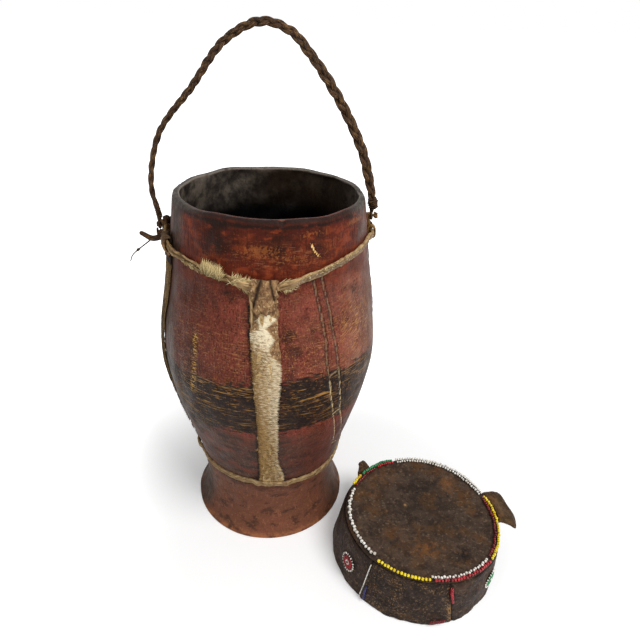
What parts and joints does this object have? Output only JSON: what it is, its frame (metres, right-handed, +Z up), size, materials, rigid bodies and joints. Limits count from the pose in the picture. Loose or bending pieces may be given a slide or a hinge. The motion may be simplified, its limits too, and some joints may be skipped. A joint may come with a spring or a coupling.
{
  "type": "lidded carved wooden container",
  "caption": "Carved waisted wooden vessel in a rawhide harness, with a plaited hide swing handle and a loose beaded leather cap that fits over its mouth.",
  "frame": {"origin": "centre of the vessel's flat foot, on the surface it stands on", "axes": "+Z up along the vessel; -Y is the front of the vessel, where the front strap lies; the handle's two ties lie on -X and +X"},
  "size_m": [0.2846, 0.21, 0.3563],
  "materials": {
    "stained_wood": "red-brown stained carved wood, worn matt",
    "rawhide": "dry rawhide, matt",
    "hair_hide": "rawhide with the pale hair left on",
    "dark_hide": "dark greased hide thong",
    "handle_hide": "plaited hide, brown, slightly greasy",
    "thong_hide": "tan hide thong",
    "cap_leather": "dark brown mottled leather",
    "ear_leather": "brown leather tab",
    "white_beads": "small opaque glass beads",
    "yellow_beads": "small opaque glass beads",
    "red_beads": "small opaque glass beads",
    "dark_red_beads": "small opaque glass beads",
    "green_beads": "small opaque glass beads",
    "blue_beads": "small opaque glass beads"
  },
  "bodies": {
    "vessel": {"vessel_body": "stained_wood", "neck_band": "rawhide", "waist_band": "rawhide", "front_strap": "hair_hide", "right_strap": "hair_hide", "back_strap": "hair_hide", "left_strap": "hair_hide", "left_tie": "dark_hide", "right_tie": "thong_hide"},
    "handle": {"plait_strand_a": "handle_hide", "plait_strand_b": "handle_hide", "plait_strand_c": "handle_hide", "left_end_knot": "dark_hide", "right_end_thong": "thong_hide"},
    "cap": {"cap_top": "cap_leather", "cap_front_panel": "cap_leather", "cap_right_panel": "cap_leather", "cap_back_panel": "cap_leather", "cap_left_panel": "cap_leather", "right_ear": "ear_leather", "left_ear": "ear_leather", "beads_yellow_front": "yellow_beads", "beads_red_front": "red_beads", "beads_yellow_right": "yellow_beads", "beads_white_back": "white_beads", "beads_red_back": "red_beads", "beads_green_back": "green_beads", "beads_yellow_back": "yellow_beads", "beads_white_left": "white_beads", "beads_white_front": "white_beads", "beads_darkred_right": "dark_red_beads", "beads_white_inner": "white_beads", "beads_darkred_back": "dark_red_beads", "seam_beads_white": "white_beads", "seam_beads_blue": "blue_beads", "seam_beads_red": "red_beads", "hem_beads_red": "red_beads", "left_rosette": "red_beads", "right_rosette": "green_beads"}
  },
  "joints": [
    {"name": "handle_swing", "type": "hinge", "parent": "vessel", "child": "handle", "pos_m": [-0.07237, 0, 0.23491], "axis": [0.9974, 0, 0.0714], "range_deg": [-100, 100]},
    {"name": "cap_lift", "type": "slide", "parent": "vessel", "child": "cap", "axis": [0.3616, -0.2187, 0.9063], "range_m": [0, 0.15]}
  ]
}
